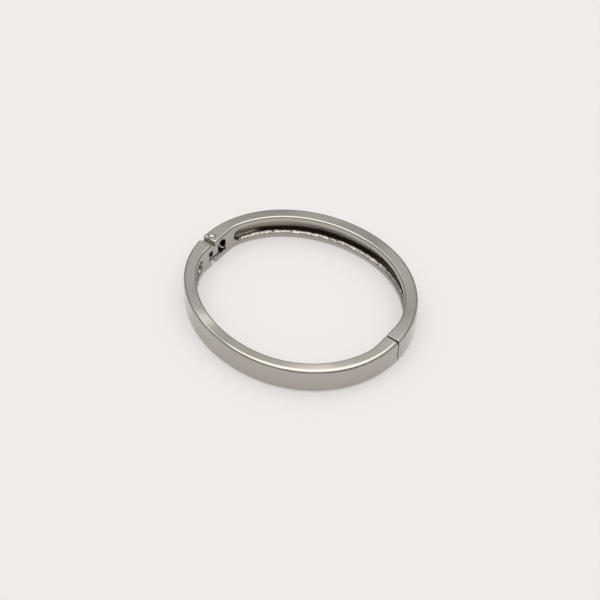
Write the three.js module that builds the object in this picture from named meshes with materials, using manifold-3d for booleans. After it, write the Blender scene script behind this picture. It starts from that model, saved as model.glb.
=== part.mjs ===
// A sprung, hinged oval bangle that lies on its edge face. Millimetres, +Z up, +X from hinge to closure.
import * as THREE from "three";
import { mergeVertices } from "three/addons/utils/BufferGeometryUtils.js";
import Module from "manifold-3d";

// The band.
const LENGTH = 66;
const WIDTH = 58.3;
const BAND = 8;
const FULLNESS = 2.03;
const EGG = 0.2;
const EDGE = 0.7;
const EDGE_STEPS = 3;
const OUTLINE_STEPS = 96;

// The wall between the outside and the wrist opening, and the flats inside its two ends.
const END_WALL = 3.6;
const BACK_WALL = 3.75;
const FRONT_WALL = 3.2;
const HINGE_FLAT = 28.4;
const CLOSURE_FLAT = 28.8;
const FLAT_BLEND = 0.2;

// The closure: two plain end faces that meet.
const SEAM_Y = -0.5;
const SEAM_GAP = 0.3;

// The hinge. Places that start with FROM_PIN are counted from the pin's axis.
const PIN_X = -30.7;
const PIN_Y = -0.1;
const PIN_RADIUS = 0.65;
const HEAD_RADIUS = 1.05;
const HEAD_DEPTH = 0.5;
const PIN_INSET = 0.05;
const RUNNING_CLEARANCE = 0.08;
const LOWER_EAR = 2.1;
const UPPER_EAR = 1.1;
const EAR_GAP = 0.15;
const FROM_PIN_EAR_END = -1.2;
const FROM_PIN_BODY_END = -2.9;
const FROM_PIN_WALL_END = 2.45;
const TONGUE_RECESS = 0.35;
const TONGUE_ROOT = 0.6;
const HEEL_Y = 1.5;
const KNUCKLE_END = (100 * Math.PI) / 180;

// The spring and the places cut for it.
const WIRE = 0.45;
const COIL_RADIUS = 1.1;
const COIL_START = (25 * Math.PI) / 180;
const COIL_TURNS = 4;
const COIL_BOTTOM = 3.05;
const COIL_TOP = 5.75;
const POINTS_PER_TURN = 10;
const WIRE_SIDES = 8;
const COIL_STEPS = 64;
const LEG_DEPTH = 0.5;
const FRONT_LEG_BEND = -1.25;
const FRONT_LEG_TUCK = -2.4;
const FRONT_LEG_TIP = -4.6;
const TIP_DEPTH = 1;
const BACK_LEG_KNEE = [1.75, 1.9, 3.6];
const BACK_LEG_FOOT = [1.7, 2.75, 2.65];
const BACK_LEG_TIP = [1.4, 4.5, 2.65];
const CAVITY_RADIUS = 1.45;
const CAVITY_MARGIN = 0.35;
const WINDOW_START = -0.2;
const WINDOW_END = 3.25;
const WINDOW_TOP = 6.2;
const WINDOW_DEPTH = 2.8;
const LEG_ROOM = 0.4;
const POCKET_START = -4.1;
const POCKET_TOP = 5.9;
const POCKET_DEPTH = 1.4;

// The long recess in each half's inner face.
const RECESS_LOW = 1.9;
const RECESS_HIGH = 6.1;
const BACK_RECESS_DEPTH = 1.9;
const FRONT_RECESS_DEPTH = 1.6;
const RECESS_HINGE_Y = 7;
const RECESS_CLOSURE_Y = 8.5;
const RECESS_STEPS = 36;

// Finishes.
const PLATE_COLOUR = 0xb4afa9;
const PLATE_ROUGHNESS = 0.16;
const PIN_COLOUR = 0xbab6b0;
const PIN_ROUGHNESS = 0.22;
const WIRE_COLOUR = 0xa8a49e;
const WIRE_ROUGHNESS = 0.3;

// How far a cutter reaches past the metal, and how far one reaches that clears the whole bangle.
const OVERCUT = 1;
const FAR = 40;

const ROUND_SEGMENTS = 24;
const KNUCKLE_STEPS = 12;
const MERGE_DISTANCE = 1e-4;
const SMALL_COSINE = 1e-3;

const wasm = await Module();
wasm.setup();

function solid(geometry) {
  const bare = geometry.clone();
  bare.deleteAttribute("normal");
  bare.deleteAttribute("uv");
  const merged = mergeVertices(bare, MERGE_DISTANCE);
  const vertProperties = new Float32Array(merged.attributes.position.array);
  const triVerts = new Uint32Array(merged.index.array);
  return new wasm.Manifold(new wasm.Mesh({ numProp: 3, vertProperties, triVerts }));
}

function surface(body) {
  const { vertProperties, triVerts } = body.getMesh();
  const geometry = new THREE.BufferGeometry();
  geometry.setAttribute("position", new THREE.BufferAttribute(vertProperties, 3));
  geometry.setIndex(new THREE.BufferAttribute(triVerts, 1));
  geometry.computeVertexNormals();
  return geometry;
}

function block([x0, x1], [y0, y1], [z0, z1]) {
  const box = new THREE.BoxGeometry(x1 - x0, y1 - y0, z1 - z0);
  return solid(box.translate((x0 + x1) / 2, (y0 + y1) / 2, (z0 + z1) / 2));
}

// A block whose sides in plan are counted from the pin.
function hingeBlock([x0, x1], [y0, y1], heights) {
  return block([PIN_X + x0, PIN_X + x1], [PIN_Y + y0, PIN_Y + y1], heights);
}

function upright(radius, low, high) {
  const round = new THREE.CylinderGeometry(radius, radius, high - low, ROUND_SEGMENTS);
  return solid(round.rotateX(Math.PI / 2).translate(PIN_X, PIN_Y, (low + high) / 2));
}

// Distance from the centre to an oval, slightly egg shaped, so that its sides are full near the closure.
function ovalRadius(halfLength, halfWidth, angle) {
  const along = Math.abs(Math.cos(angle) / halfLength) ** FULLNESS;
  const across = Math.abs(Math.sin(angle) / halfWidth) ** FULLNESS;
  return (along + across) ** (-1 / FULLNESS) - EGG * (Math.cos(3 * angle) - Math.cos(angle));
}

function outsideRadius(angle) {
  return ovalRadius(LENGTH / 2, WIDTH / 2, angle);
}

// The wrist opening: an oval whose ends are cut by flats, with a soft change between them.
function openingRadius(angle) {
  const wall = Math.sin(angle) > 0 ? BACK_WALL : FRONT_WALL;
  const oval = ovalRadius(LENGTH / 2 - END_WALL, WIDTH / 2 - wall, angle);
  const flatX = Math.cos(angle) < 0 ? HINGE_FLAT : CLOSURE_FLAT;
  const flat = flatX / Math.max(Math.abs(Math.cos(angle)), SMALL_COSINE);
  return -FLAT_BLEND * Math.log(Math.exp(-oval / FLAT_BLEND) + Math.exp(-flat / FLAT_BLEND));
}

function point(radius, angle) {
  return new THREE.Vector2(radius * Math.cos(angle), radius * Math.sin(angle));
}

function loop(radiusAt) {
  const angles = Array.from({ length: OUTLINE_STEPS }, (_, i) => (2 * Math.PI * i) / OUTLINE_STEPS);
  return angles.map((angle) => point(radiusAt(angle), angle));
}

function ring() {
  const outline = new THREE.Shape(loop(outsideRadius));
  outline.holes.push(new THREE.Path(loop(openingRadius)));
  const geometry = new THREE.ExtrudeGeometry(outline, {
    depth: BAND - 2 * EDGE,
    bevelThickness: EDGE,
    bevelSize: EDGE,
    bevelOffset: -EDGE,
    bevelSegments: EDGE_STEPS,
  });
  return solid(geometry.translate(0, 0, EDGE));
}

// The angle, seen from the centre, of the place on an end flat that is y to one side of the middle.
function flatAngle(y, flatX) {
  return Math.atan2(y, flatX);
}

function recessEnd(angle, radius, depth) {
  const round = new THREE.CylinderGeometry(radius, radius, 2 * depth, ROUND_SEGMENTS);
  const { x, y } = point(openingRadius(angle), angle);
  const middle = (RECESS_LOW + RECESS_HIGH) / 2;
  return solid(round.rotateZ(Math.PI / 2).rotateZ(angle).translate(x, y, middle));
}

// A slot with round ends, as deep as told, that follows the inner face from one angle to the other.
function recess(from, to, depth) {
  const step = (to - from) / RECESS_STEPS;
  const angles = Array.from({ length: RECESS_STEPS + 1 }, (_, i) => from + step * i);
  const floor = angles.map((angle) => point(openingRadius(angle) + depth, angle));
  const mouth = angles.map((angle) => point(openingRadius(angle) - depth, angle)).reverse();
  const shape = new THREE.Shape([...floor, ...mouth]);
  const height = RECESS_HIGH - RECESS_LOW;
  const slot = new THREE.ExtrudeGeometry(shape, { depth: height, bevelEnabled: false });
  const body = solid(slot.translate(0, 0, RECESS_LOW));
  const ends = [from, to].map((angle) => recessEnd(angle, height / 2, depth));
  return body.add(ends[0]).add(ends[1]);
}

const innerFace = -HINGE_FLAT - PIN_X;
const outerFace = -LENGTH / 2 - PIN_X;
const pastInside = innerFace + OVERCUT;
const slotHeights = [LOWER_EAR, BAND - UPPER_EAR];
const cavityHeights = [COIL_BOTTOM - CAVITY_MARGIN, COIL_TOP + CAVITY_MARGIN];
const pastBand = [-OVERCUT, BAND + OVERCUT];

function pinBore() {
  const bore = upright(PIN_RADIUS + RUNNING_CLEARANCE, -OVERCUT, BAND + OVERCUT);
  const sinkRadius = HEAD_RADIUS + RUNNING_CLEARANCE;
  const sinkDepth = HEAD_DEPTH + RUNNING_CLEARANCE;
  const lowSink = upright(sinkRadius, -OVERCUT, sinkDepth);
  const highSink = upright(sinkRadius, BAND - sinkDepth, BAND + OVERCUT);
  return bore.add(lowSink).add(highSink);
}

// The fork, the window through its inner wall, and the room behind that wall for the back leg.
function hingeSpace() {
  const fork = hingeBlock([-FAR / 2, pastInside], [-FAR / 2, FROM_PIN_WALL_END], slotHeights);
  const windowSides = [innerFace - WINDOW_DEPTH, pastInside];
  const windowHeights = [LOWER_EAR, WINDOW_TOP];
  const window = hingeBlock(windowSides, [FROM_PIN_WALL_END - OVERCUT, WINDOW_END], windowHeights);
  const [tipX, tipY, tipZ] = BACK_LEG_TIP;
  const legHeights = [tipZ - LEG_ROOM, tipZ + LEG_ROOM];
  const legWay = [WINDOW_END - OVERCUT, tipY + LEG_ROOM];
  const legPocket = hingeBlock([tipX - LEG_ROOM, tipX + LEG_ROOM], legWay, legHeights);
  return fork.add(window).add(legPocket);
}

function backHalf() {
  const frontSide = block([-FAR, OVERCUT], [-FAR, PIN_Y + FROM_PIN_EAR_END], pastBand);
  const pastSeam = block([-OVERCUT, FAR], [-FAR, SEAM_Y + SEAM_GAP / 2], pastBand);
  const from = flatAngle(RECESS_CLOSURE_Y, CLOSURE_FLAT);
  const to = Math.PI - flatAngle(RECESS_HINGE_Y + (RECESS_HIGH - RECESS_LOW) / 2, HINGE_FLAT);
  const slot = recess(from, to, BACK_RECESS_DEPTH);
  const body = ring().subtract(frontSide).subtract(pastSeam).subtract(slot);
  return body.subtract(hingeSpace()).subtract(pinBore());
}

// The knuckle in plan: flush inside, set back outside, with a heel that stops on the back half's wall.
function tongueBlank() {
  const outside = outerFace + TONGUE_RECESS;
  const root = FROM_PIN_BODY_END - TONGUE_ROOT;
  const shape = new THREE.Shape();
  shape.moveTo(outside, root);
  shape.lineTo(innerFace, root);
  shape.absarc(0, 0, innerFace, 0, KNUCKLE_END, false);
  shape.lineTo(outside, HEEL_Y);
  const low = LOWER_EAR + EAR_GAP;
  const high = BAND - UPPER_EAR - EAR_GAP;
  const options = { depth: high - low, bevelEnabled: false, curveSegments: KNUCKLE_STEPS };
  const geometry = new THREE.ExtrudeGeometry(shape, options);
  return solid(geometry.translate(PIN_X, PIN_Y, low));
}

// Room for the coil, open to the window, a groove for the front leg, and the pocket that its tip enters.
function springSpace() {
  const coilRoom = upright(CAVITY_RADIUS, ...cavityHeights);
  const opening = hingeBlock([0, pastInside], [WINDOW_START, pastInside], cavityHeights);
  const legHeights = [cavityHeights[0], COIL_BOTTOM + LEG_ROOM];
  const groove = hingeBlock([COIL_RADIUS / 2, pastInside], [FRONT_LEG_TUCK, 0], legHeights);
  const pocketSides = [innerFace - POCKET_DEPTH, pastInside];
  const pocketHeights = [cavityHeights[0], POCKET_TOP];
  const pocket = hingeBlock(pocketSides, [POCKET_START, FRONT_LEG_TUCK], pocketHeights);
  const tipSides = [innerFace - TIP_DEPTH - LEG_ROOM, innerFace - TIP_DEPTH + LEG_ROOM];
  const tipRoom = hingeBlock(tipSides, [FRONT_LEG_TIP - LEG_ROOM, POCKET_START + LEG_ROOM], legHeights);
  return coilRoom.add(opening).add(groove).add(pocket).add(tipRoom);
}

function frontHalf() {
  const backSide = block([-FAR, OVERCUT], [PIN_Y + FROM_PIN_BODY_END, FAR], pastBand);
  const pastSeam = block([-OVERCUT, FAR], [SEAM_Y - SEAM_GAP / 2, FAR], pastBand);
  const halfHeight = (RECESS_HIGH - RECESS_LOW) / 2;
  const from = Math.PI + flatAngle(RECESS_HINGE_Y + halfHeight, HINGE_FLAT);
  const to = 2 * Math.PI - flatAngle(RECESS_CLOSURE_Y, CLOSURE_FLAT);
  const slot = recess(from, to, FRONT_RECESS_DEPTH);
  const body = ring().subtract(backSide).subtract(pastSeam).subtract(slot);
  return body.add(tongueBlank()).subtract(springSpace()).subtract(pinBore());
}

// A plain pin whose two ends are spread flat in the ears' countersinks.
function hingePin() {
  const low = PIN_INSET;
  const high = BAND - PIN_INSET;
  const profile = [
    [0, low],
    [HEAD_RADIUS, low],
    [HEAD_RADIUS, HEAD_DEPTH],
    [PIN_RADIUS, HEAD_DEPTH],
    [PIN_RADIUS, BAND - HEAD_DEPTH],
    [HEAD_RADIUS, BAND - HEAD_DEPTH],
    [HEAD_RADIUS, high],
    [0, high],
  ].map(([radius, z]) => new THREE.Vector2(radius, z));
  const turned = new THREE.LatheGeometry(profile, ROUND_SEGMENTS);
  return solid(turned.rotateX(Math.PI / 2).translate(PIN_X, PIN_Y, 0));
}

// The wire's line, counted from the pin: front leg, coil, and the back leg, which steps down beside the coil.
function springLine() {
  const legX = innerFace - LEG_DEPTH;
  const tipX = innerFace - TIP_DEPTH;
  const frontLeg = [
    [tipX, FRONT_LEG_TIP, COIL_BOTTOM],
    [legX, FRONT_LEG_TUCK, COIL_BOTTOM],
    [legX, FRONT_LEG_BEND, COIL_BOTTOM],
  ];
  const sweep = 2 * Math.PI * COIL_TURNS - COIL_START;
  const count = COIL_TURNS * POINTS_PER_TURN;
  const coil = Array.from({ length: count + 1 }, (_, i) => {
    const angle = COIL_START + (sweep * i) / count;
    const z = COIL_BOTTOM + ((COIL_TOP - COIL_BOTTOM) * i) / count;
    return [COIL_RADIUS * Math.cos(angle), COIL_RADIUS * Math.sin(angle), z];
  });
  const line = [...frontLeg, ...coil, BACK_LEG_KNEE, BACK_LEG_FOOT, BACK_LEG_TIP];
  return line.map(([x, y, z]) => new THREE.Vector3(x + PIN_X, y + PIN_Y, z));
}

function hingeSpring() {
  const section = new THREE.Shape();
  section.absarc(0, 0, WIRE / 2, 0, 2 * Math.PI);
  const line = new THREE.CatmullRomCurve3(springLine(), false, "centripetal");
  const options = { steps: COIL_STEPS, extrudePath: line, curveSegments: WIRE_SIDES / 2 };
  return solid(new THREE.ExtrudeGeometry(section, options));
}

function metal(color, roughness) {
  return new THREE.MeshStandardMaterial({ color, roughness, metalness: 1 });
}

function piece(name, body, material) {
  const mesh = new THREE.Mesh(surface(body), material);
  mesh.name = name;
  return mesh;
}

const bangle = new THREE.Group();
const plate = metal(PLATE_COLOUR, PLATE_ROUGHNESS);
bangle.add(piece("back_half", backHalf(), plate));
bangle.add(piece("front_half", frontHalf(), plate.clone()));
bangle.add(piece("hinge_pin", hingePin(), metal(PIN_COLOUR, PIN_ROUGHNESS)));
bangle.add(piece("hinge_spring", hingeSpring(), metal(WIRE_COLOUR, WIRE_ROUGHNESS)));

export default bangle;
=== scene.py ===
import math

import bmesh
import bpy
from bpy.props import FloatProperty, FloatVectorProperty, IntProperty, PointerProperty
from mathutils import Matrix, Vector, noise


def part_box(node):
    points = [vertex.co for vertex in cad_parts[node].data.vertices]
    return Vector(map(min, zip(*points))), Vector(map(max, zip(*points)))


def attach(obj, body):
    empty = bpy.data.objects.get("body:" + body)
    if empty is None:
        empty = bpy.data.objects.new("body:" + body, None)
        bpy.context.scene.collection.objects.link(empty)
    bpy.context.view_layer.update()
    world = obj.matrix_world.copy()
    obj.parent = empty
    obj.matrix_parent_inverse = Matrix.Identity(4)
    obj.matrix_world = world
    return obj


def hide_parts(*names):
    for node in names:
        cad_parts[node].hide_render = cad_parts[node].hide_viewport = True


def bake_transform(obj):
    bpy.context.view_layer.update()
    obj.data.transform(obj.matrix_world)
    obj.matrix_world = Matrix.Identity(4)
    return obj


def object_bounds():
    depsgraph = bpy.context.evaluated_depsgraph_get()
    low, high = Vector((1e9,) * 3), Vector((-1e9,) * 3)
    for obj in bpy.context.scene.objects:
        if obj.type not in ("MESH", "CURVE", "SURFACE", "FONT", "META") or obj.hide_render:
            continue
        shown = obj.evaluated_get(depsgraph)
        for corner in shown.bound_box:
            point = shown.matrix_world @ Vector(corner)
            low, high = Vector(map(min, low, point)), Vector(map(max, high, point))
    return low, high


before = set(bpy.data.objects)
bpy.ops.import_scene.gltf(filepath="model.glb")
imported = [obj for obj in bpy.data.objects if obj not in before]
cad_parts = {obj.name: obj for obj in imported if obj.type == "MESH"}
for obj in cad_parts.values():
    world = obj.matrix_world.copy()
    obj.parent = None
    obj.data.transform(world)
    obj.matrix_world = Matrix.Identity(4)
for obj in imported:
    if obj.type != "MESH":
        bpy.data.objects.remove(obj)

bl_info = {
    "name": "Sprung Bangle",
    "version": (1, 0, 0),
    "blender": (4, 5, 0),
    "location": "View3D > Sidebar > Bangle",
    "description": "Builds a hinged, sprung oval bangle around its packed frame",
    "category": "Add Mesh",
}

MM = 0.001
CAD_LOW, CAD_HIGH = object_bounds()
PIN_LOW, PIN_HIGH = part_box("hinge_pin")
PIN_X, PIN_Y = (PIN_LOW.x + PIN_HIGH.x) / 2, (PIN_LOW.y + PIN_HIGH.y) / 2
BAND = CAD_HIGH.z - CAD_LOW.z
HALF_LENGTH = (CAD_HIGH.x - CAD_LOW.x) / 2
HALF_WIDTH = (CAD_HIGH.y - CAD_LOW.y) / 2
BACK_SEAM = 0.29 * MM
FRONT_SEAM = 0.71 * MM
EAR_END = 1.3 * MM
BODY_END = 3 * MM
PLANAR_TO, RADIAL_FROM = 4 * MM, 12 * MM
SECTIONS = 220
END_STEPS = 4
EDGE_STEPS = 9
FLAT_ROWS = 5
KNUCKLE_STEPS = 24
LIP_STEPS = 4
CORNER_STEPS = 4
TROUGH_LEVEL = 9

# Turns at which the recesses' two end centres lie, as distances to one side.
RECESS_CLOSURE_Y = 8.5 * MM
RECESS_HINGE_Y = 9.1 * MM

# The hinge, in millimetres, in plan counted from the pin.
PIN_HEAD, PIN_SHANK, HEAD_DEPTH = 1.05, 0.65, 0.5
EAR_SPACE = (2.1, 6.9)
BODY_WALL = 2.45
KNUCKLE_RADIUS, KNUCKLE_END = 2.3, 100
KNUCKLE_HEIGHTS = (2.25, 6.75)
KNUCKLE_OUTSIDE, KNUCKLE_ROOT, HEEL = -1.95, -3.5, 1.5
COIL_ROOM, COIL_ROOM_HEIGHTS = 1.45, (2.7, 6.1)
PAST_INSIDE = 3.3


def length_setting(name, description, millimetres):
    return FloatProperty(name=name, description=description, default=millimetres * MM, unit="LENGTH")


def angle_setting(name, description, degrees):
    return FloatProperty(name=name, description=description, default=math.radians(degrees), subtype="ANGLE")


def colour_setting(name, description, value):
    return FloatVectorProperty(name=name, description=description, default=value, subtype="COLOR", size=3)


class BandSettings(bpy.types.PropertyGroup):
    """Sizes of the two swept halves."""

    fullness: FloatProperty(name="Fullness", description="2 is an ellipse, more is squarer", default=2.03)
    egg: length_setting("Egg", "How far the oval's sides lean to the closure", 0.2)
    end_wall: length_setting("End Wall", "Wall between outside and opening at the ends", 3.6)
    back_wall: length_setting("Back Wall", "Wall at the middle of the back half", 3.75)
    front_wall: length_setting("Front Wall", "Wall at the middle of the front half", 3.2)
    hinge_flat: length_setting("Hinge Flat", "Distance of the flat beside the hinge", 28.4)
    closure_flat: length_setting("Closure Flat", "Distance of the flat beside the closure", 28.8)
    flat_blend: length_setting("Flat Blend", "Softness between oval and flats", 0.83)
    outer_edge: length_setting("Outer Edge", "Radius of the outer long edges", 0.85)
    inner_edge: length_setting("Inner Edge", "Radius of the inner long edges", 0.6)
    end_edge: length_setting("End Edge", "Radius round each closure face", 0.14)
    ear_edge: length_setting("Ear Edge", "Radius round the ends of the back half's ears", 0.42)
    knuckle_edge: length_setting("Knuckle Edge", "Radius round the front half's body at the hinge", 0.32)
    crown: length_setting("Crown", "Swell of the outer face", 0.03)
    recess_width: length_setting("Recess Width", "Height of the long recess", 4.2)
    recess_draft: angle_setting("Recess Draft", "Slope of the recess's upper wall", 12)
    ledge_slope: angle_setting("Ledge Slope", "Slope of the recess's lower wall", 31)
    back_recess: length_setting("Back Recess", "Depth of the back half's recess", 1.9)
    front_recess: length_setting("Front Recess", "Depth of the front half's recess", 1.6)


class SpringSettings(bpy.types.PropertyGroup):
    """Sizes of the hinge's torsion spring, counted from the pin."""

    wire: length_setting("Wire", "Thickness of the wire", 0.45)
    radius: length_setting("Radius", "Radius of the coil", 1.1)
    turns: IntProperty(name="Turns", description="Turns in the coil", default=4)
    bottom: length_setting("Bottom", "Height of the coil's lower end and the front leg", 3.05)
    top: length_setting("Top", "Height of the coil's upper end", 5.75)


class FinishSettings(bpy.types.PropertyGroup):
    """Colours of the metals."""

    plate: colour_setting("Plate", "Colour of the plating", (0.465, 0.441, 0.408))
    # The shade colour darkens recessed metal: partly the unpolished casting's own tone, partly painted shade.
    shade: colour_setting("Shade", "Colour of the plating where no wheel reached", (0.31, 0.27, 0.235))
    wire: colour_setting("Wire", "Colour of the spring wire", (0.44, 0.40, 0.36))


class StageSettings(bpy.types.PropertyGroup):
    """The floor's colour and the camera's place."""

    floor: colour_setting("Floor", "Colour of the floor", (0.795, 0.772, 0.765))
    paper: colour_setting("Paper", "Colour seen past the floor", (0.880, 0.850, 0.815))
    distance: length_setting("Distance", "From the camera to its target", 389.15)
    azimuth: angle_setting("Azimuth", "Camera's turn round the bangle", 35.73)
    elevation: angle_setting("Elevation", "Camera's height above the floor", 46.83)
    roll: angle_setting("Roll", "Camera's tilt about its own line of sight", 1.73)
    lens: FloatProperty(name="Lens", description="Focal length in millimetres", default=84.87)


# Node trees.


def add_node(tree, kind, inputs=None, **settings):
    """A new node with its settings and its inputs, each a value or another node's output."""
    node = tree.nodes.new(kind)
    for name, value in settings.items():
        setattr(node, name, value)
    for key, value in (inputs or {}).items():
        if isinstance(value, bpy.types.NodeSocket):
            tree.links.new(value, node.inputs[key])
        else:
            node.inputs[key].default_value = value
    return node


def calc(tree, operation, *values):
    """The output of a Math node."""
    return add_node(tree, "ShaderNodeMath", dict(enumerate(values)), operation=operation).outputs[0]


def new_group(name, kind, inputs, outputs):
    """An empty node group with float inputs unless a socket type is given, and its two end nodes."""
    tree = bpy.data.node_groups.new(name, kind)
    for side, sockets in (("INPUT", inputs), ("OUTPUT", outputs)):
        for socket, form in sockets.items():
            tree.interface.new_socket(socket, in_out=side, socket_type="NodeSocket" + (form or "Float"))
    return tree, tree.nodes.new("NodeGroupInput").outputs, tree.nodes.new("NodeGroupOutput").inputs


def oval_group():
    """Distance from the centre to an egg-shaped oval, by the turn round it."""
    names = ("Half Length", "Half Width", "Fullness", "Egg", "Turn")
    inputs, outputs = dict.fromkeys(names), {"Radius": None}
    tree, given, result = new_group("oval_radius", "GeometryNodeTree", inputs, outputs)
    turn = given["Turn"]
    cosine = calc(tree, "COSINE", turn)
    shares = []
    for along, half in ((cosine, given["Half Length"]), (calc(tree, "SINE", turn), given["Half Width"])):
        share = calc(tree, "ABSOLUTE", calc(tree, "DIVIDE", along, half))
        shares.append(calc(tree, "POWER", share, given["Fullness"]))
    power = calc(tree, "DIVIDE", -1.0, given["Fullness"])
    oval = calc(tree, "POWER", calc(tree, "ADD", *shares), power)
    lean = calc(tree, "SUBTRACT", calc(tree, "COSINE", calc(tree, "MULTIPLY", turn, 3.0)), cosine)
    tree.links.new(calc(tree, "SUBTRACT", oval, calc(tree, "MULTIPLY", given["Egg"], lean)), result["Radius"])
    return tree


BAR_VALUES = ("turn", "side", "offset", "lean")
BEND_INPUTS = {
    "Geometry": "Geometry", "Half Length": None, "Half Width": None, "End Wall": None, "Side Wall": None,
    "Hinge Flat": None, "Closure Flat": None, "Flat Blend": None, "Fullness": None, "Egg": None,
    "Finish": "Material",
}


def bend_group(oval):
    """Bends a straight bar round the oval: each point's turn, side, offset and lean are stored on the bar."""
    outputs = {"Geometry": "Geometry"}
    tree, given, result = new_group("bend_round_oval", "GeometryNodeTree", BEND_INPUTS, outputs)

    def stored(name):
        return add_node(tree, "GeometryNodeInputNamedAttribute", {"Name": name}).outputs["Attribute"]

    def radius(half_length, half_width):
        sizes = {"Half Length": half_length, "Half Width": half_width, "Turn": stored("turn")}
        sizes.update({"Fullness": given["Fullness"], "Egg": given["Egg"]})
        group = tree.nodes.new("GeometryNodeGroup")
        group.node_tree = oval
        for name, value in sizes.items():
            tree.links.new(value, group.inputs[name])
        return group.outputs["Radius"]

    outside = radius(given["Half Length"], given["Half Width"])
    inner_length = calc(tree, "SUBTRACT", given["Half Length"], given["End Wall"])
    inner_width = calc(tree, "SUBTRACT", given["Half Width"], given["Side Wall"])
    cosine = calc(tree, "COSINE", stored("turn"))
    at_closure = calc(tree, "GREATER_THAN", cosine, 0.0)
    flat_gap = calc(tree, "SUBTRACT", given["Closure Flat"], given["Hinge Flat"])
    flat_place = calc(tree, "MULTIPLY_ADD", at_closure, flat_gap, given["Hinge Flat"])
    flat = calc(tree, "DIVIDE", flat_place, calc(tree, "MAXIMUM", calc(tree, "ABSOLUTE", cosine), 1e-3))
    opening = calc(tree, "SMOOTH_MIN", radius(inner_length, inner_width), flat, given["Flat Blend"])
    side_step = calc(tree, "SUBTRACT", outside, opening)
    reach = calc(tree, "MULTIPLY_ADD", stored("side"), side_step, opening)

    def place(turn_rule):
        along = calc(tree, "MULTIPLY", reach, calc(tree, turn_rule, stored("turn")))
        return calc(tree, "MULTIPLY_ADD", stored("offset"), calc(tree, turn_rule, stored("lean")), along)

    position = add_node(tree, "GeometryNodeInputPosition").outputs[0]
    height = add_node(tree, "ShaderNodeSeparateXYZ", {0: position})
    parts = {"X": place("COSINE"), "Y": place("SINE"), "Z": height.outputs["Z"]}
    spot = add_node(tree, "ShaderNodeCombineXYZ", parts).outputs[0]
    moved = add_node(tree, "GeometryNodeSetPosition", {"Geometry": given["Geometry"], "Position": spot})
    real = add_node(tree, "GeometryNodeRealizeInstances", {"Geometry": moved.outputs[0]})
    dressed = add_node(
        tree, "GeometryNodeSetMaterial", {"Geometry": real.outputs[0], "Material": given["Finish"]}
    )
    tree.links.new(dressed.outputs[0], result["Geometry"])
    return tree


def evaluated_mesh(piece):
    """The piece's mesh with its modifiers worked in."""
    graph = bpy.context.evaluated_depsgraph_get()
    return bpy.data.meshes.new_from_object(piece.evaluated_get(graph), depsgraph=graph)


def apply_modifiers(piece):
    """Works the piece's modifiers into its mesh and takes them off."""
    mesh = evaluated_mesh(piece)
    piece.modifiers.clear()
    old, piece.data = piece.data, mesh
    bpy.data.meshes.remove(old)
    mesh.name = piece.name
    return piece


def run_nodes(piece, tree, values):
    """Runs a geometry node tree on the piece with the named inputs and keeps the result as its mesh."""
    modifier = piece.modifiers.new(tree.name, "NODES")
    modifier.node_group = tree
    for item in tree.interface.items_tree:
        if item.item_type == "SOCKET" and item.in_out == "INPUT" and item.name in values:
            modifier[item.identifier] = values[item.name]
    return apply_modifiers(piece)


def new_piece(name, bm):
    """A linked object made from a bmesh, which is used up."""
    mesh = bpy.data.meshes.new(name)
    bm.to_mesh(mesh)
    bm.free()
    piece = bpy.data.objects.new(name, mesh)
    bpy.context.scene.collection.objects.link(piece)
    return piece


# The rule of the oval, for places that the cuts need.


def oval_radius(band, half_length, half_width, turn):
    along = abs(math.cos(turn) / half_length) ** band.fullness
    across = abs(math.sin(turn) / half_width) ** band.fullness
    lean = math.cos(3 * turn) - math.cos(turn)
    return (along + across) ** (-1 / band.fullness) - band.egg * lean


def outside_radius(band, turn):
    return oval_radius(band, HALF_LENGTH, HALF_WIDTH, turn)


def side_wall(band, turn):
    return band.back_wall if math.sin(turn) > 0 else band.front_wall


def opening_radius(band, turn):
    oval = oval_radius(band, HALF_LENGTH - band.end_wall, HALF_WIDTH - side_wall(band, turn), turn)
    flat_place = band.closure_flat if math.cos(turn) > 0 else band.hinge_flat
    flat = flat_place / max(abs(math.cos(turn)), 1e-3)
    near = max(band.flat_blend - abs(oval - flat), 0) / band.flat_blend
    return min(oval, flat) - near**3 * band.flat_blend / 6


def turn_at(radius_at, y, near):
    """The turn at which an outline's point lies y to one side, near one of the oval's two ends."""
    turn = near
    for _ in range(12):
        lift = math.asin(y / radius_at(turn))
        turn = near - lift if near == math.pi else near + lift
    return turn


def ease(low, high, value):
    """Rises softly from 0 to 1 while the value goes from low to high."""
    share = min(max((value - low) / (high - low), 0), 1)
    return share * share * (3 - 2 * share)


# The sweep of each half.


def band_profile(band, outer_edge):
    """The band's section: for each point its side, its offset and height, and the way out of the metal."""
    inner = band.inner_edge
    corners = (
        (1, -outer_edge, BAND - outer_edge, outer_edge, 0),
        (0, inner, BAND - inner, inner, 90),
        (0, inner, inner, inner, 180),
        (1, -outer_edge, outer_edge, outer_edge, 270),
    )
    points = []
    for side, offset, height, edge, first in corners:
        for step in range(EDGE_STEPS + 1):
            angle = math.radians(first + 90 * step / EDGE_STEPS)
            out, up = math.cos(angle), math.sin(angle)
            points.append((side, offset + edge * out, height + edge * up, out, up))
    low, high = outer_edge, BAND - outer_edge
    for row in range(1, FLAT_ROWS + 1):
        share = row / (FLAT_ROWS + 1)
        swell = band.crown * (1 - (2 * share - 1) ** 2)
        points.append((1, swell, low + (high - low) * share, 1, 0))
    return points


def end_sections(edge):
    """A round edge's distances from its end face, with how far the section is drawn in at each."""
    angles = [math.radians(90 * step / END_STEPS) for step in range(END_STEPS + 1)]
    return [(edge * (1 - math.cos(a)), edge * (1 - math.sin(a))) for a in angles]


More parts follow.
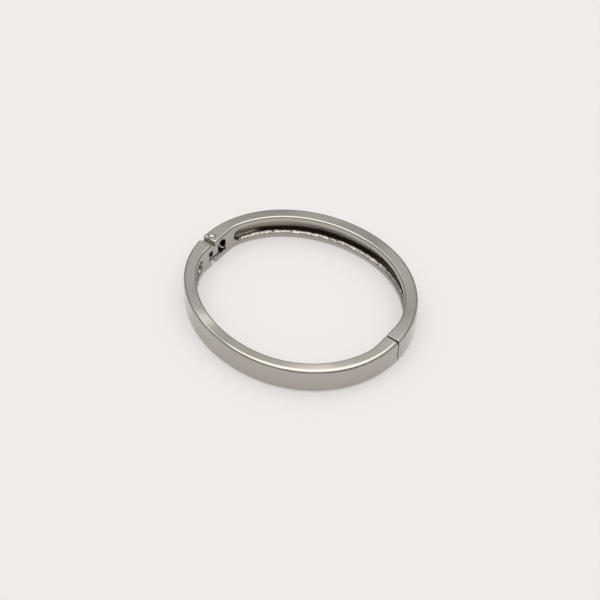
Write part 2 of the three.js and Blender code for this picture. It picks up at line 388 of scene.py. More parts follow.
def half_bar(band, side, hinge_y, seam_y):
    """The straight bar that bends into a half: side is 1 for the back half and -1 for the front half."""
    hinge_turn, seam_turn = math.pi, 0.0 if side > 0 else 2 * math.pi

    def outside(turn):
        return outside_radius(band, turn)

    def end_places(y, near, edge):
        return [(turn_at(outside, y + side * gone, near), inset) for gone, inset in end_sections(edge)]

    places = end_places(hinge_y, hinge_turn, band.ear_edge if side > 0 else band.knuckle_edge)
    seam_places = end_places(seam_y, seam_turn, band.end_edge)
    first, last = places[-1][0], seam_places[-1][0]
    places += [(first + (last - first) * step / SECTIONS, 0.0) for step in range(1, SECTIONS)]
    places += seam_places[::-1]

    bm = bmesh.new()
    layers = {name: bm.verts.layers.float.new(name) for name in BAR_VALUES}
    rings = []
    for turn, inset in places:
        y = outside(turn) * math.sin(turn)
        radial_y = opening_radius(band, turn) * math.sin(turn)
        share = ease(PLANAR_TO, RADIAL_FROM, abs(y))
        near = hinge_turn if math.cos(turn) < 0 else seam_turn
        inner_y = y + (radial_y - y) * share
        inner_turn = turn if share == 1 else turn_at(lambda t: opening_radius(band, t), inner_y, near)
        start = Vector((math.cos(inner_turn), math.sin(inner_turn))) * opening_radius(band, inner_turn)
        stop = Vector((math.cos(turn), math.sin(turn))) * outside(turn)
        lean = math.atan2(stop.y - start.y, stop.x - start.x)
        ring = []
        for on_outside, offset, height, out, up in band_profile(band, outer_edge_at(band, turn)):
            own_turn = turn if on_outside else inner_turn
            offset -= inset * out
            bar_y = offset + on_outside * band.end_wall
            vert = bm.verts.new((own_turn * HALF_LENGTH, bar_y, height - inset * up))
            for name, value in zip(BAR_VALUES, (own_turn, on_outside, offset, lean)):
                vert[layers[name]] = value
            ring.append(vert)
        rings.append(ring)
    for one, two in zip(rings, rings[1:]):
        for i in range(len(one)):
            bm.faces.new((one[i - 1], one[i], two[i], two[i - 1]))
    bm.faces.new(rings[0])
    bm.faces.new(rings[-1][::-1])
    return bm


def outer_edge_at(band, turn):
    """The outer edge's radius, which hand polishing widened along the front half towards the closure."""
    if math.sin(turn) > 0:
        return band.outer_edge
    widened = ease(math.radians(250), math.radians(315), turn)
    return band.outer_edge * (0.85 + 0.45 * widened)


def swept_half(name, band, side, hinge_y, seam_y, bend, finish):
    piece = new_piece(name, half_bar(band, side, hinge_y, seam_y))
    values = {
        "Half Length": HALF_LENGTH, "Half Width": HALF_WIDTH, "End Wall": band.end_wall,
        "Side Wall": band.back_wall if side > 0 else band.front_wall, "Hinge Flat": band.hinge_flat,
        "Closure Flat": band.closure_flat, "Flat Blend": band.flat_blend, "Fullness": band.fullness,
        "Egg": band.egg, "Finish": finish,
    }
    run_nodes(piece, bend, values)
    face_out(piece)
    return piece


def face_out(piece):
    bm = bmesh.new()
    bm.from_mesh(piece.data)
    bmesh.ops.remove_doubles(bm, verts=bm.verts, dist=1e-7)
    bmesh.ops.recalc_face_normals(bm, faces=bm.faces)
    bm.to_mesh(piece.data)
    bm.free()


# Cutters.


def block(x, y, z):
    """A box between pairs of millimetre places, in plan counted from the pin."""
    bm = bmesh.new()
    bmesh.ops.create_cube(bm, size=1)
    low = Vector((PIN_X + x[0] * MM, PIN_Y + y[0] * MM, z[0] * MM))
    high = Vector((PIN_X + x[1] * MM, PIN_Y + y[1] * MM, z[1] * MM))
    for vert in bm.verts:
        vert.co = Vector((a + (b - a) * (c + 0.5) for a, b, c in zip(low, high, vert.co)))
    return new_piece("cutter", bm)


def turned(name, profile, steps):
    """A solid turned round the pin's axis, from (radius, height) pairs in millimetres."""
    bm = bmesh.new()
    rings = []
    for radius, height in profile:
        if radius == 0:
            rings.append([bm.verts.new((PIN_X, PIN_Y, height * MM))])
            continue
        angles = [2 * math.pi * i / steps for i in range(steps)]
        spots = [(PIN_X + radius * MM * math.cos(a), PIN_Y + radius * MM * math.sin(a)) for a in angles]
        rings.append([bm.verts.new((*spot, height * MM)) for spot in spots])
    for one, two in zip(rings, rings[1:]):
        for i in range(steps):
            around = ((one, i), (one, i + 1), (two, i + 1), (two, i))
            corners = [ring[k % len(ring)] for ring, k in around]
            bm.faces.new(list(dict.fromkeys(corners)))
    bmesh.ops.recalc_face_normals(bm, faces=bm.faces)
    return new_piece(name, bm)


def bore_cutter(clearance=0.05, chamfer=0.04):
    """The pin's bore with a countersink and a broken edge at each end."""
    top = BAND / MM
    sink, bore, depth = (size + clearance for size in (PIN_HEAD, PIN_SHANK, HEAD_DEPTH))
    lower = [(0, -1), (sink + chamfer + 1, -1), (sink, chamfer), (sink, depth), (bore, depth)]
    upper = [(radius, top - height) for radius, height in reversed(lower)]
    return turned("cutter", lower + upper, 48)


def recess_lip(steepest, lip, reach=0.9 * MM):
    """The recess's round lip from a mouth clear of the metal: how far inside the outline, and how deep."""
    first = math.radians(20)
    angles = [first + (steepest - first) * step / LIP_STEPS for step in range(LIP_STEPS + 1)]
    levels = [(lip * (math.sin(a) - 1), lip * (1 - math.cos(a))) for a in angles]
    mouth = (levels[0][0] - reach * math.cos(first), levels[0][1] - reach * math.sin(first))
    return [mouth, *levels]


def upper_wall(band, depth, lip=0.32 * MM, corner=0.3 * MM):
    """The recess's upper wall and the corner where it meets the floor."""
    steepest = math.pi / 2 - band.recess_draft
    levels = recess_lip(steepest, lip)
    bottom = depth - corner * (1 - math.cos(steepest))
    start = levels[-1][0] + (bottom - levels[-1][1]) / math.tan(steepest)
    for step in range(CORNER_STEPS + 1):
        angle = steepest * (1 - step / CORNER_STEPS)
        inside = start + corner * (math.sin(steepest) - math.sin(angle))
        levels.append((inside, depth - corner * (1 - math.cos(angle))))
    return levels


def lower_wall(band, depth, lip=0.5 * MM, crest=0.85 * MM):
    """The recess's lower wall: a soft lip, a sloping ledge up to a crest, and a trough behind it."""
    levels = recess_lip(math.pi / 2 - band.ledge_slope, lip)
    inside, deep = levels[-1]
    rise = inside + (crest - deep) * math.tan(band.ledge_slope)
    trough = 0.08 * MM
    back = [(rise + 0.02 * MM, crest + 0.1 * MM), (trough, crest + 0.32 * MM), (trough, depth - 0.2 * MM)]
    return [*levels, (rise, crest), *back, (trough + 0.2 * MM, depth)]


def recess_cutter(band, start, stop, depth, seed, rough=0.13 * MM, columns=230, arcs=12, rows=7):
    """A slot with round ends that follows the inner face, between the turns of its two end centres."""
    half_width = band.recess_width / 2
    middle = BAND / 2
    sides = (upper_wall(band, depth), lower_wall(band, depth))
    start_radius, stop_radius = opening_radius(band, start), opening_radius(band, stop)
    span = (stop - start) * (start_radius + stop_radius) / 2

    def to_turn(way):
        if way < 0:
            return start + way / start_radius
        if way > span:
            return stop + (way - span) / stop_radius
        return start + (stop - start) * way / span

    def spot(way, height, deep, level):
        turn = to_turn(way)
        radius = opening_radius(band, turn) + deep
        co = Vector((radius * math.cos(turn), radius * math.sin(turn), middle + height))
        if level > LIP_STEPS:
            on_ledge = ease(0, -1.2 * MM, height) if level < TROUGH_LEVEL else 0
            co += lumps(co + Vector((seed, seed, seed)), rough * (0.15 + 0.85 * on_ledge))
        return co

    bm = bmesh.new()
    stations = [("start", math.pi / 2 * i / arcs) for i in range(arcs + 1)]
    stations += [("middle", span * i / columns) for i in range(1, columns)]
    stations += [("stop", math.pi / 2 * (1 - i / arcs)) for i in range(arcs + 1)]

    def place(station, radius):
        kind, value = station
        if kind == "middle":
            return value, radius
        way = -radius * math.cos(value) if kind == "start" else span + radius * math.cos(value)
        return way, radius * math.sin(value)

    loops = []
    for number, ((inside, deep), (inside_low, deep_low)) in enumerate(zip(*sides)):
        upper, lower = [], []
        for index, station in enumerate(stations):
            way, height = place(station, half_width - inside)
            way_low, height_low = place(station, half_width - inside_low)
            tip = index in (0, len(stations) - 1)
            above = bm.verts.new(spot(way, 0 if tip else height, deep, number))
            upper.append(above)
            lower.append(above if tip else bm.verts.new(spot(way_low, -height_low, deep_low, number)))
        loops.append((upper, lower))
    for one, two in zip(loops, loops[1:]):
        for edge in range(2):
            for i in range(len(stations) - 1):
                bm.faces.new((one[edge][i], one[edge][i + 1], two[edge][i + 1], two[edge][i]))
    for sheet in (loops[0], loops[-1]):
        ladders = []
        for top, bottom in zip(*sheet):
            if top is bottom:
                ladders.append([top])
                continue
            inner = [bm.verts.new(top.co.lerp(bottom.co, row / rows)) for row in range(1, rows)]
            ladders.append([top, *inner, bottom])
        for one, two in zip(ladders, ladders[1:]):
            for row in range(rows):
                corners = [one[min(row, len(one) - 1)], one[min(row + 1, len(one) - 1)]]
                corners += [two[min(row + 1, len(two) - 1)], two[min(row, len(two) - 1)]]
                bm.faces.new(list(dict.fromkeys(corners)))
    bmesh.ops.recalc_face_normals(bm, faces=bm.faces)
    return new_piece("cutter", bm)


def lumps(co, size):
    """How far cast metal strays from its drawn surface at a place."""
    big = noise.noise_vector(co / (1.3 * MM))
    small = noise.noise_vector(co / (0.45 * MM))
    return (big + small * 0.35) * size


def combine(piece, others, operation):
    """Joins or cuts with other closed pieces, which are used up."""
    for other in others:
        modifier = piece.modifiers.new(other.name, "BOOLEAN")
        modifier.operation = operation
        modifier.solver = "MANIFOLD"
        modifier.object = other
    apply_modifiers(piece)
    for other in others:
        bpy.data.objects.remove(other)
    return piece


def near_hinge(co):
    """Whether a place lies in the hinge's end of the band."""
    return co.x < CAD_LOW.x + 6 * MM and abs(co.y) < 7 * MM


def soften_hinge_edges(piece, width, keep_from_axis=1.7 * MM):
    """Breaks the cuts' sharp outer edges beside the hinge, except round the pin."""
    bm = bmesh.new()
    bm.from_mesh(piece.data)
    bmesh.ops.remove_doubles(bm, verts=bm.verts, dist=2e-6)
    bmesh.ops.dissolve_degenerate(bm, edges=bm.edges, dist=2e-6)
    chosen = []
    for edge in bm.edges:
        if len(edge.link_faces) != 2 or not edge.is_convex:
            continue
        middle = (edge.verts[0].co + edge.verts[1].co) / 2
        from_axis = math.hypot(middle.x - PIN_X, middle.y - PIN_Y)
        on_rim = from_axis < keep_from_axis and min(middle.z, BAND - middle.z) < 0.7 * MM
        if near_hinge(middle) and not on_rim and edge.calc_face_angle(0) > math.radians(40):
            chosen.append(edge)
    bmesh.ops.bevel(
        bm, geom=chosen, offset=width, segments=3, profile=0.5, affect="EDGES", clamp_overlap=True
    )
    bm.to_mesh(piece.data)
    bm.free()


def polish_shading(piece, angle=35):
    """Smooth shading with crisp flats: sharp edges marked by angle, and normals weighted by face size."""
    bm = bmesh.new()
    bm.from_mesh(piece.data)
    for face in bm.faces:
        face.smooth = True
    for edge in bm.edges:
        edge.smooth = len(edge.link_faces) == 2 and edge.calc_face_angle(0) < math.radians(angle)
    bm.to_mesh(piece.data)
    bm.free()
    modifier = piece.modifiers.new("weighted", "WEIGHTED_NORMAL")
    modifier.keep_sharp = True
    modifier.weight = 50
    return apply_modifiers(piece)


def painted_corner_shade_at(band, co, turn, under):
    """How much painted shade darkens a place in the recess's low corner, from 0 to 1."""
    low_wall = BAND / 2 - band.recess_width / 2
    ragged = noise.noise(co / (1.6 * MM)) * 0.25 * MM
    low = ease(low_wall + 0.70 * MM, low_wall + 0.40 * MM, co.z + ragged)
    in_recess = ease(0.9 * MM, 1.15 * MM, under[1]) * ease(0.4 * MM, 0.8 * MM, under[0])
    from_hinge = ease(math.radians(155), math.radians(148), turn)
    return low * in_recess * from_hinge * (0.35 + 0.65 * ease(0.9, 1.4, turn))


def mark_cast_and_painted_shade(piece, band, hinge_share=0.12):
    """Stores how deep each point lies under the polished skin, and how dark the painted shade in the recess's
    low corner is.
    """
    mesh = piece.data
    for name in BAR_VALUES:
        if name in mesh.attributes:
            mesh.attributes.remove(mesh.attributes[name])
    # The corner attribute holds painted shade for the recess's low corner.
    casts, corners = (mesh.attributes.new(name, "FLOAT", "POINT") for name in ("cast", "corner"))
    for vert, cast, corner in zip(mesh.vertices, casts.data, corners.data):
        turn = math.atan2(vert.co.y, vert.co.x) % (2 * math.pi)
        radius = math.hypot(vert.co.x, vert.co.y)
        under = (outside_radius(band, turn) - radius, radius - opening_radius(band, turn))
        deep = ease(0.1 * MM, 0.4 * MM, min(*under, vert.co.z, BAND - vert.co.z))
        if near_hinge(vert.co):
            cast.value = deep * hinge_share
        else:
            cast.value = deep
            # Painted shade: the recess's low corner is darkened as if by shadow.
            corner.value = painted_corner_shade_at(band, vert.co, turn, under)


# Finishes.


def noise_texture(tree, where, scale, detail):
    inputs = {"Vector": where, "Scale": scale, "Detail": detail}
    return add_node(tree, "ShaderNodeTexNoise", inputs).outputs[0]


def polishing_group():
    """Marks of the polishing wheel: uneven roughness, fine lines, a faint waviness and a broad swell."""
    inputs = dict.fromkeys(("Roughness", "Spread", "Line Scale", "Wave Scale"))
    outputs = dict.fromkeys(("Roughness", "Lines", "Waves", "Swell"))
    tree, given, result = new_group("polishing", "ShaderNodeTree", inputs, outputs)
    where = add_node(tree, "ShaderNodeTexCoord").outputs["Object"]
    stretched = add_node(tree, "ShaderNodeMapping", {"Vector": where, "Scale": (1.0, 1.0, 14.0)}).outputs[0]
    waves = noise_texture(tree, where, given["Wave Scale"], 2.0)
    lines = noise_texture(tree, stretched, given["Line Scale"], 3.0)
    swell = noise_texture(tree, where, 70.0, 0.0)
    total = given["Roughness"]
    for mark in (waves, lines):
        change = calc(tree, "MULTIPLY", calc(tree, "SUBTRACT", mark, 0.5), given["Spread"])
        total = calc(tree, "ADD", total, change)
    tree.links.new(calc(tree, "MAXIMUM", total, 0.02), result["Roughness"])
    for name, value in (("Lines", lines), ("Waves", waves), ("Swell", swell)):
        tree.links.new(value, result[name])
    return tree


def casting_group():
    """Skin of a casting where no wheel reached: grains, pits and a darker, uneven tone that is partly painted
    shade.
    """
    inputs, outputs = dict.fromkeys(("Cast", "Grain Scale")), dict.fromkeys(("Tone", "Height"))
    tree, given, result = new_group("casting", "ShaderNodeTree", inputs, outputs)
    where = add_node(tree, "ShaderNodeTexCoord").outputs["Object"]
    grain = noise_texture(tree, where, given["Grain Scale"], 5.0)
    coarse = calc(tree, "MULTIPLY", given["Grain Scale"], 0.35)
    pits = add_node(tree, "ShaderNodeTexVoronoi", {"Vector": where, "Scale": coarse})
    hollow = calc(tree, "SMOOTH_MIN", pits.outputs["Distance"], 0.45, 0.2)
    height = calc(tree, "ADD", calc(tree, "MULTIPLY", grain, 0.6), hollow)
    tone = calc(tree, "MULTIPLY_ADD", grain, 0.5, 0.5)
    for name, value in (("Height", height), ("Tone", tone)):
        tree.links.new(calc(tree, "MULTIPLY", value, given["Cast"]), result[name])
    return tree


def placed_group(tree, group, inputs):
    """The outputs of a shared group that is placed in a material, by name."""
    node = tree.nodes.new("ShaderNodeGroup")
    node.node_tree = group
    for name, value in inputs.items():
        if isinstance(value, bpy.types.NodeSocket):
            tree.links.new(value, node.inputs[name])
        else:
            node.inputs[name].default_value = value
    return node.outputs


def mix_colour(tree, share, first, second):
    """A colour the given share of the way from the first to the second, which are sockets or colours."""
    return add_node(tree, "ShaderNodeMix", {0: share, 6: first, 7: second}, data_type="RGBA").outputs[2]


def metal(name, colour, shade, roughness, wave_scale, stored_cast):
    """A plated metal: polished skin, with the casting's skin, a darker tone that is partly painted shade, and
    painted shade in the recess's low corner where stored values say so.
    """
    material = bpy.data.materials.new(name)
    material.use_nodes = True
    tree = material.node_tree
    tree.nodes.clear()
    polishing, casting = (bpy.data.node_groups.get(group) or make() for group, make in GROUP_MAKERS)
    cast, corner = 0.0, 0.0
    if stored_cast:
        cast = add_node(tree, "ShaderNodeAttribute", attribute_name="cast").outputs["Fac"]
        # The stored corner value is painted shade.
        corner = add_node(tree, "ShaderNodeAttribute", attribute_name="corner").outputs["Fac"]
    marks = {"Roughness": roughness, "Spread": 0.08, "Line Scale": 9000.0, "Wave Scale": wave_scale}
    polish = placed_group(tree, polishing, marks)
    skin = placed_group(tree, casting, {"Cast": cast, "Grain Scale": 5200.0})
    # Recessed metal is mixed towards the shade colour: partly unpolished skin, partly painted shade.
    toned = mix_colour(tree, skin["Tone"], (*colour, 1), (*shade, 1))
    # Painted shade: near black is mixed in where the corner value says.
    colour_with_painted_shade = mix_colour(tree, corner, toned, (0.02, 0.016, 0.013, 1))
    rough = calc(tree, "MULTIPLY_ADD", skin["Tone"], 0.18, polish["Roughness"])
    bumps = (
        (polish["Swell"], 1.0, 0.0012), (polish["Waves"], 0.04, 0.0004), (polish["Lines"], 0.02, 0.00002),
        (skin["Height"], 0.5, 0.00012),
    )
    normal = None
    for height, strength, distance in bumps:
        inputs = {"Height": height, "Strength": strength, "Distance": distance}
        if normal:
            inputs["Normal"] = normal
        normal = add_node(tree, "ShaderNodeBump", inputs).outputs[0]
    shader = add_node(
        tree, "ShaderNodeBsdfPrincipled",
        {"Base Color": colour_with_painted_shade, "Metallic": 1.0, "Roughness": rough, "Normal": normal},
    )
    output = tree.nodes.new("ShaderNodeOutputMaterial")
    tree.links.new(shader.outputs[0], output.inputs["Surface"])
    return material


GROUP_MAKERS = (("polishing", polishing_group), ("casting", casting_group))

# For each finish: its colour, its roughness, the scale of its waves and whether a casting stores values.
FINISHES = {
    "polished_plating": ("plate", 0.09, 260.0, True),
    "pin_plating": ("plate", 0.16, 900.0, False),
    "spring_wire": ("wire", 0.22, 1500.0, False),
}


def finish_for(kind):
    """The finish with this name, made when it is first asked for."""
    if kind in bpy.data.materials:
        return bpy.data.materials[kind]
    settings = bpy.context.scene.bangle_finish
    colour, roughness, wave_scale, stored_cast = FINISHES[kind]
    return metal(kind, getattr(settings, colour), settings.shade, roughness, wave_scale, stored_cast)


# Operators.


def bend_tree():
    return bpy.data.node_groups.get("bend_round_oval") or bend_group(oval_group())


def finish_half(piece, band, softness, body):
    """Softens, marks and shades a cut half, and says what it rides on."""
    soften_hinge_edges(piece, softness)
    mark_cast_and_painted_shade(piece, band)
    polish_shading(piece)
    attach(piece, body)


class BANGLE_OT_back_half(bpy.types.Operator):
    """Makes the back half, with its two hinge ears and its long recess"""

    bl_idname = "bangle.back_half"
    bl_label = "Back Half"

    def execute(self, context):
        band = context.scene.bangle_band
        finish = finish_for("polished_plating")
        piece = swept_half("plated_back_half", band, 1, -EAR_END, -BACK_SEAM, bend_tree(), finish)
        start = math.atan2(RECESS_CLOSURE_Y, band.closure_flat)
        stop = math.pi - math.atan2(RECESS_HINGE_Y, band.hinge_flat)
        between_ears = block((-20, PAST_INSIDE), (-20, BODY_WALL), EAR_SPACE)
        window = block((-0.5, PAST_INSIDE), (1.45, 3.25), (EAR_SPACE[0], 6.2))
        leg_hole = block((1.0, 1.8), (2.25, 4.9), (2.25, 3.05))
        recess = recess_cutter(band, start, stop, band.back_recess, 3.0)
        combine(piece, [between_ears, window, leg_hole, bore_cutter(), recess], "DIFFERENCE")
        finish_half(piece, band, 0.1 * MM, "back")
        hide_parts("back_half")
        return {"FINISHED"}


def tongue():
    """The front half's knuckle: flush and round inside, set back outside, with a heel that stops it."""
    bm = bmesh.new()
    outline = [(KNUCKLE_OUTSIDE, KNUCKLE_ROOT), (KNUCKLE_RADIUS, KNUCKLE_ROOT)]
    for step in range(KNUCKLE_STEPS + 1):
        angle = math.radians(KNUCKLE_END * step / KNUCKLE_STEPS)
        outline.append((KNUCKLE_RADIUS * math.cos(angle), KNUCKLE_RADIUS * math.sin(angle)))
    outline.append((KNUCKLE_OUTSIDE, HEEL))
    low, high = KNUCKLE_HEIGHTS
    base = bm.faces.new([bm.verts.new((PIN_X + x * MM, PIN_Y + y * MM, low * MM)) for x, y in outline])
    raised = bmesh.ops.extrude_face_region(bm, geom=[base])["geom"]
    for vert in raised:
        if isinstance(vert, bmesh.types.BMVert):
            vert.co.z = high * MM
    bmesh.ops.recalc_face_normals(bm, faces=bm.faces)
    sharp = [edge for edge in bm.edges if edge.calc_face_angle(0) > math.radians(30)]
    bmesh.ops.bevel(bm, geom=sharp, offset=0.12 * MM, segments=3, profile=0.5, affect="EDGES")
    return new_piece("tongue", bm)


def spring_room():
    """Cutters for the coil, its opening to the inside, and the front leg's groove, pocket and tip."""
    floor, ceiling = COIL_ROOM_HEIGHTS
    leg_heights = (floor, 3.45)
    return [
        turned("cutter", [(0, floor), (COIL_ROOM, floor), (COIL_ROOM, ceiling), (0, ceiling)], 48),
        block((0, PAST_INSIDE), (-0.2, 3.3), COIL_ROOM_HEIGHTS),
        block((0.55, PAST_INSIDE), (-2.4, 0), leg_heights),
        block((0.9, PAST_INSIDE), (-4.1, -2.4), (floor, 5.9)),
        block((0.9, 1.7), (-5.0, -3.7), leg_heights),
    ]


class BANGLE_OT_front_half(bpy.types.Operator):
    """Makes the front half, with its tongue, the room for the spring and its long recess"""

    bl_idname = "bangle.front_half"
    bl_label = "Front Half"

    def execute(self, context):
        band = context.scene.bangle_band
        finish = finish_for("polished_plating")
        piece = swept_half("plated_front_half", band, -1, -BODY_END, -FRONT_SEAM, bend_tree(), finish)
        start = math.pi + math.atan2(RECESS_HINGE_Y, band.hinge_flat)
        stop = 2 * math.pi - math.atan2(RECESS_CLOSURE_Y, band.closure_flat)
        combine(piece, [recess_cutter(band, start, stop, band.front_recess, 7.0)], "DIFFERENCE")
        combine(piece, [tongue()], "UNION")
        combine(piece, [*spring_room(), bore_cutter()], "DIFFERENCE")
        finish_half(piece, band, 0.08 * MM, "front")
        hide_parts("front_half")
        return {"FINISHED"}


class BANGLE_OT_hinge_pin(bpy.types.Operator):
    """Makes the hinge pin, whose two ends are spread and slightly dished"""

    bl_idname = "bangle.hinge_pin"
    bl_label = "Hinge Pin"

    def execute(self, context):
        low, top = PIN_LOW.z / MM, BAND / MM
        dish = [(0, 0.17), (0.26, 0.155), (0.45, 0.11), (0.62, 0.05), (0.76, 0.01), (0.86, 0)]
        edge = 0.12
        angles = [math.radians(90 * step / 4) for step in range(5)]
        rim = [(PIN_HEAD - edge * (1 - math.sin(a)), edge * (1 - math.cos(a))) for a in angles]
        under = HEAD_DEPTH - low
        head = dish + rim + [(PIN_HEAD, under), (PIN_SHANK, under), (PIN_SHANK, under + 0.1)]
        lower = [(radius, low + height) for radius, height in head]
        upper = [(radius, top - height) for radius, height in reversed(lower)]
        piece = turned("plated_hinge_pin", lower + upper, 64)
        piece.data.materials.append(finish_for("pin_plating"))
        polish_shading(piece)
        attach(piece, "back")
        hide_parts("hinge_pin")
        return {"FINISHED"}


def spring_group():
    """A coil between two straight legs, swept with round wire along one line."""
    inputs = {
        "Radius": None, "Turns": None, "Start": None, "Bottom": None, "Top": None, "Wire": None,
        "Front Tip": "Vector", "Front Tuck": "Vector", "Front Bend": "Vector", "Back Knee": "Vector",
        "Back Foot": "Vector", "Back Tip": "Vector", "Centre": "Vector", "Finish": "Material",
    }
    tree, given, result = new_group("torsion_spring", "GeometryNodeTree", inputs, {"Geometry": "Geometry"})
    height = calc(tree, "SUBTRACT", given["Top"], given["Bottom"])
    coil = add_node(
        tree, "GeometryNodeCurveSpiral",
        {"Resolution": 40, "Rotations": given["Turns"], "Start Radius": given["Radius"],
         "End Radius": given["Radius"], "Height": height},
    )
    turn = add_node(tree, "ShaderNodeCombineXYZ", {"Z": given["Start"]}).outputs[0]
    raised = add_node(tree, "ShaderNodeCombineXYZ", {"Z": given["Bottom"]}).outputs[0]
    placed = add_node(
        tree, "GeometryNodeTransform", {"Geometry": coil.outputs[0], "Rotation": turn, "Translation": raised}
    ).outputs[0]
    ends = []
    for factor in (0.0, 1.0):
        picked = add_node(tree, "GeometryNodeSampleCurve", {"Curves": placed, "Factor": factor})
        ends.append(picked.outputs["Position"])
    runs = (
        (given["Front Tip"], given["Front Tuck"]), (given["Front Tuck"], given["Front Bend"]),
        (given["Front Bend"], ends[0]), (ends[1], given["Back Knee"]),
        (given["Back Knee"], given["Back Foot"]), (given["Back Foot"], given["Back Tip"]),
    )
    joined = add_node(tree, "GeometryNodeJoinGeometry")
    for start, stop in reversed(runs):
        line = add_node(tree, "GeometryNodeCurvePrimitiveLine", {"Start": start, "End": stop})
        tree.links.new(line.outputs[0], joined.inputs[0])
    tree.links.new(placed, joined.inputs[0])
    wires = add_node(tree, "GeometryNodeCurveToMesh", {"Curve": joined.outputs[0]})
    merged = add_node(tree, "GeometryNodeMergeByDistance", {"Geometry": wires.outputs[0], "Distance": 1e-6})
    line = add_node(tree, "GeometryNodeMeshToCurve", {"Mesh": merged.outputs[0]})
    rounding = {"Curve": line.outputs[0], "Count": 3, "Radius": 0.0004, "Limit Radius": True}
    round_line = add_node(tree, "GeometryNodeFilletCurve", rounding, mode="POLY")
    section = add_node(tree, "GeometryNodeCurvePrimitiveCircle", {"Resolution": 16})
    tree.links.new(calc(tree, "MULTIPLY", given["Wire"], 0.5), section.inputs["Radius"])
    swept = add_node(
        tree, "GeometryNodeCurveToMesh",
        {"Curve": round_line.outputs[0], "Profile Curve": section.outputs[0], "Fill Caps": True},
    )
    shift = {"Geometry": swept.outputs[0], "Translation": given["Centre"]}
    moved = add_node(tree, "GeometryNodeTransform", shift)
    real = add_node(tree, "GeometryNodeRealizeInstances", {"Geometry": moved.outputs[0]})
    dressed = add_node(
        tree, "GeometryNodeSetMaterial", {"Geometry": real.outputs[0], "Material": given["Finish"]}
    )
    tree.links.new(dressed.outputs[0], result["Geometry"])
    return tree


class BANGLE_OT_hinge_spring(bpy.types.Operator):
    """Makes the torsion spring that winds as the bangle opens"""

    bl_idname = "bangle.hinge_spring"
    bl_label = "Hinge Spring"

    def execute(self, context):
        spring = context.scene.bangle_spring
        start = math.radians(25)
        low, high, radius = spring.bottom, spring.top, spring.radius
        piece = new_piece("wound_hinge_spring", bmesh.new())
        values = {
            "Radius": radius, "Turns": spring.turns - start / (2 * math.pi), "Start": start,
            "Bottom": low, "Top": high, "Wire": spring.wire,
            "Front Tip": (1.3 * MM, -4.6 * MM, low), "Front Tuck": (1.8 * MM, -2.4 * MM, low),
            "Front Bend": (1.8 * MM, -1.25 * MM, low), "Back Knee": (1.75 * MM, 1.9 * MM, 3.6 * MM),
            "Back Foot": (1.7 * MM, 2.75 * MM, 2.65 * MM), "Back Tip": (1.4 * MM, 4.5 * MM, 2.65 * MM),
            "Centre": (PIN_X, PIN_Y, 0), "Finish": finish_for("spring_wire"),
        }
        run_nodes(piece, spring_group(), values)
        face_out(piece)
        polish_shading(piece, 60)
        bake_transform(piece)
        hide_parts("hinge_spring")
        return {"FINISHED"}


# The stage.


def studio_world(beyond):
    """Soft light by height, bright overhead and dark at the horizon; the eye sees plain paper instead."""
    world = bpy.data.worlds.new("studio")
    bpy.context.scene.world = world
    world.use_nodes = True
    tree = world.node_tree
    tree.nodes.clear()
    where = add_node(tree, "ShaderNodeTexCoord").outputs["Generated"]
    height = add_node(tree, "ShaderNodeSeparateXYZ", {0: where}).outputs["Z"]
    ramp = add_node(tree, "ShaderNodeValToRGB", {"Fac": height})
    stops = ((0.0, 0.10), (0.16, 0.16), (0.34, 0.50), (0.60, 0.56), (0.70, 0.78))
    stops += ((0.785, 0.84), (0.85, 1.9), (0.88, 2.1), (1.0, 2.2))
    elements = ramp.color_ramp.elements
    while len(elements) < len(stops):
        elements.new(0.5)
    for element, (place, light) in zip(elements, stops):
        element.position = place
        element.color = (light, light * 0.985, light * 0.955, 1)
    light = add_node(tree, "ShaderNodeBackground", {"Color": ramp.outputs[0], "Strength": 1.0})
    paper = add_node(tree, "ShaderNodeBackground", {"Color": (*beyond, 1), "Strength": 1.0})
    eye = add_node(tree, "ShaderNodeLightPath").outputs["Is Camera Ray"]
    mixed = add_node(tree, "ShaderNodeMixShader", {0: eye, 1: light.outputs[0], 2: paper.outputs[0]})
    output = tree.nodes.new("ShaderNodeOutputWorld")
    tree.links.new(mixed.outputs[0], output.inputs["Surface"])


def floor_material(colour, reflected=0.55, given_off=0.50):
    """Pale paper that gives off part of its light itself, which keeps shadows faint."""
    material = bpy.data.materials.new("paper")
    material.use_nodes = True
    tree = material.node_tree
    shader = tree.nodes["Principled BSDF"]
    shader.inputs["Base Color"].default_value = (*(value * reflected for value in colour), 1)
    shader.inputs["Roughness"].default_value = 0.9
    shader.inputs["Specular IOR Level"].default_value = 0.0
    shader.inputs["Emission Color"].default_value = (*colour, 1)
    shader.inputs["Emission Strength"].default_value = given_off
    return material


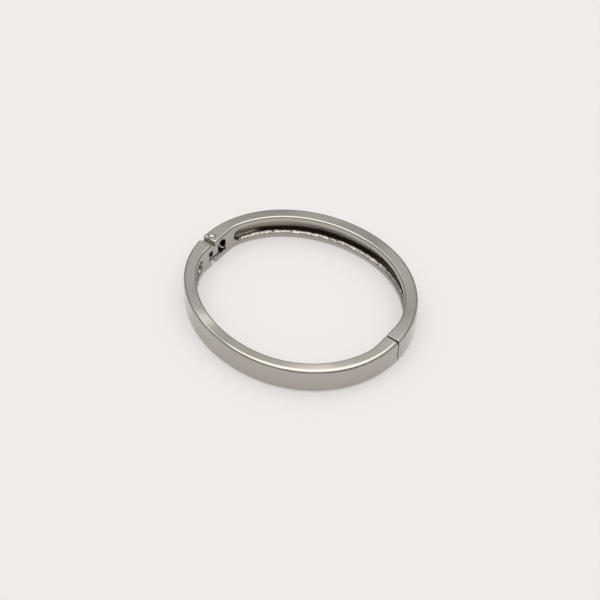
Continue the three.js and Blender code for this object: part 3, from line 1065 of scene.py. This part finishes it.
class BANGLE_OT_stage(bpy.types.Operator):
    """Makes the pale floor, which gives off some light of its own, the soft light and the camera"""

    bl_idname = "bangle.stage"
    bl_label = "Stage"

    def execute(self, context):
        stage = context.scene.bangle_stage
        bm = bmesh.new()
        bmesh.ops.create_grid(bm, x_segments=1, y_segments=1, size=4)
        floor = new_piece("floor", bm)
        floor.data.materials.append(floor_material(stage.floor))
        studio_world(stage.paper)
        camera = bpy.data.objects.new("camera", bpy.data.cameras.new("camera"))
        context.scene.collection.objects.link(camera)
        camera.data.lens = stage.lens
        camera.data.sensor_width = 36
        camera.data.clip_start, camera.data.clip_end = 0.01, 20
        flat = math.cos(stage.elevation)
        across, along = math.sin(stage.azimuth) * flat, -math.cos(stage.azimuth) * flat
        back = Vector((across, along, math.sin(stage.elevation)))
        target = Vector((0.2 * MM, 0, 0))
        look = (-back).to_track_quat("-Z", "Y").to_matrix().to_4x4()
        place = Matrix.Translation(target + back * stage.distance)
        camera.matrix_world = place @ look @ Matrix.Rotation(stage.roll, 4, "Z")
        camera.data.shift_x, camera.data.shift_y = 0.0006, 0.0095
        context.scene.camera = camera
        context.scene.view_settings.view_transform = "Standard"
        return {"FINISHED"}


class BANGLE_PT_panel(bpy.types.Panel):
    """Lists the pieces that can be made"""

    bl_idname = "BANGLE_PT_panel"
    bl_label = "Sprung Bangle"
    bl_space_type = "VIEW_3D"
    bl_region_type = "UI"
    bl_category = "Bangle"

    def draw(self, context):
        for operator in OPERATORS:
            self.layout.operator(operator.bl_idname)


OPERATORS = (
    BANGLE_OT_stage, BANGLE_OT_back_half, BANGLE_OT_front_half, BANGLE_OT_hinge_pin, BANGLE_OT_hinge_spring,
)
SETTINGS = {
    "bangle_band": BandSettings, "bangle_spring": SpringSettings, "bangle_finish": FinishSettings,
    "bangle_stage": StageSettings,
}


def register():
    for cls in (*SETTINGS.values(), *OPERATORS, BANGLE_PT_panel):
        bpy.utils.register_class(cls)
    for name, cls in SETTINGS.items():
        setattr(bpy.types.Scene, name, PointerProperty(type=cls))


def unregister():
    for name in SETTINGS:
        delattr(bpy.types.Scene, name)
    for cls in reversed((*SETTINGS.values(), *OPERATORS, BANGLE_PT_panel)):
        bpy.utils.unregister_class(cls)


def main():
    register()
    for operator in OPERATORS:
        group, name = operator.bl_idname.split(".")
        getattr(getattr(bpy.ops, group), name)()


if __name__ == "__main__":
    main()
